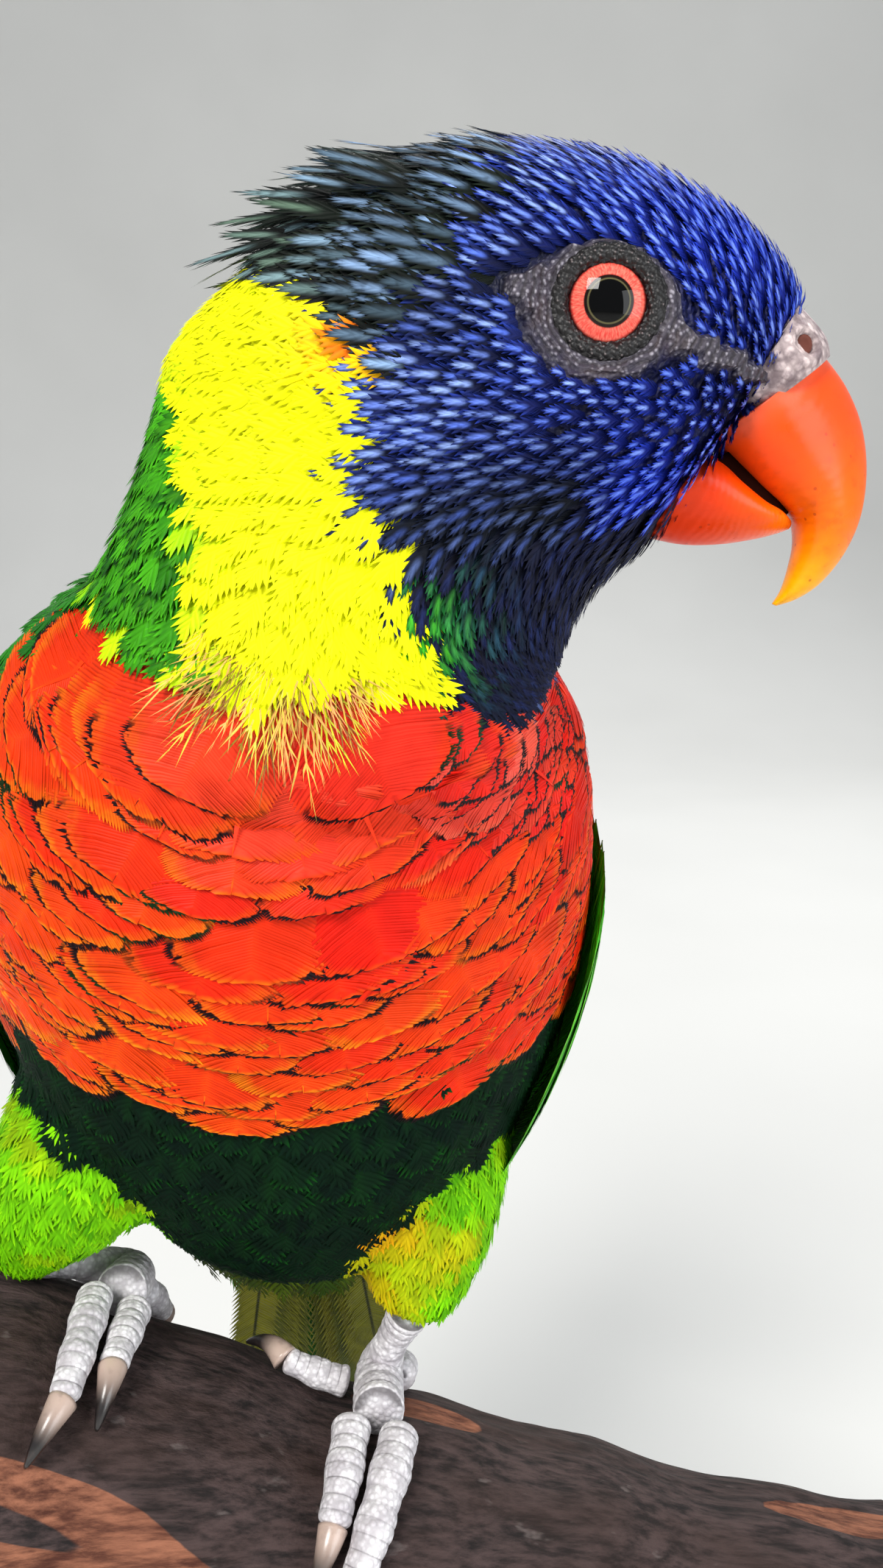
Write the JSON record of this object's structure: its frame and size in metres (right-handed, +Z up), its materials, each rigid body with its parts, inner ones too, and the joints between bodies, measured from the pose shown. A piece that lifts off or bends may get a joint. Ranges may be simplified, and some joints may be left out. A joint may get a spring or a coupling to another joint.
{
  "type": "rainbow lorikeet still model",
  "caption": "Life-size rainbow lorikeet with its head turned to its left, gripping a short sloping branch held by a plain base and two rods.",
  "frame": {"origin": "centre of the underside of the stand's base", "axes": "+Z up, away from the floor; -Y the way the bird's breast faces; +X the way its bill points, which is towards its own left side"},
  "size_m": [0.1436, 0.1335, 0.2452],
  "materials": {
    "feathers_blue": "soft satin",
    "feathers_collar": "soft",
    "feathers_red": "soft",
    "feathers_green": "soft satin",
    "feathers_lime": "soft",
    "bill": "horny, low gloss",
    "cere": "rough skin",
    "eye": "wet gloss",
    "scales": "dry scales",
    "claw": "horny, low gloss",
    "bark": "dry bark",
    "stand": "satin"
  },
  "bodies": {
    "root": {"stand_base": "stand", "stand_rod_left": "stand", "stand_rod_right": "stand", "stand_perch": "bark", "torso": "feathers_red", "neck": "feathers_collar", "head": "feathers_blue", "eye_right": "eye", "eye_left": "eye", "cere": "cere", "bill_upper": "bill", "bill_lower": "bill", "thigh_right": "feathers_lime", "foot_right": "scales", "toe2_right": "scales", "claw2_right": "claw", "toe3_right": "scales", "claw3_right": "claw", "toe1_right": "scales", "claw1_right": "claw", "toe4_right": "scales", "claw4_right": "claw", "thigh_left": "feathers_lime", "foot_left": "scales", "toe2_left": "scales", "claw2_left": "claw", "toe3_left": "scales", "claw3_left": "claw", "toe1_left": "scales", "claw1_left": "claw", "toe4_left": "scales", "claw4_left": "claw", "tail": "feathers_green", "wing_right": "feathers_green", "wing_left": "feathers_green"}
  },
  "joints": []
}
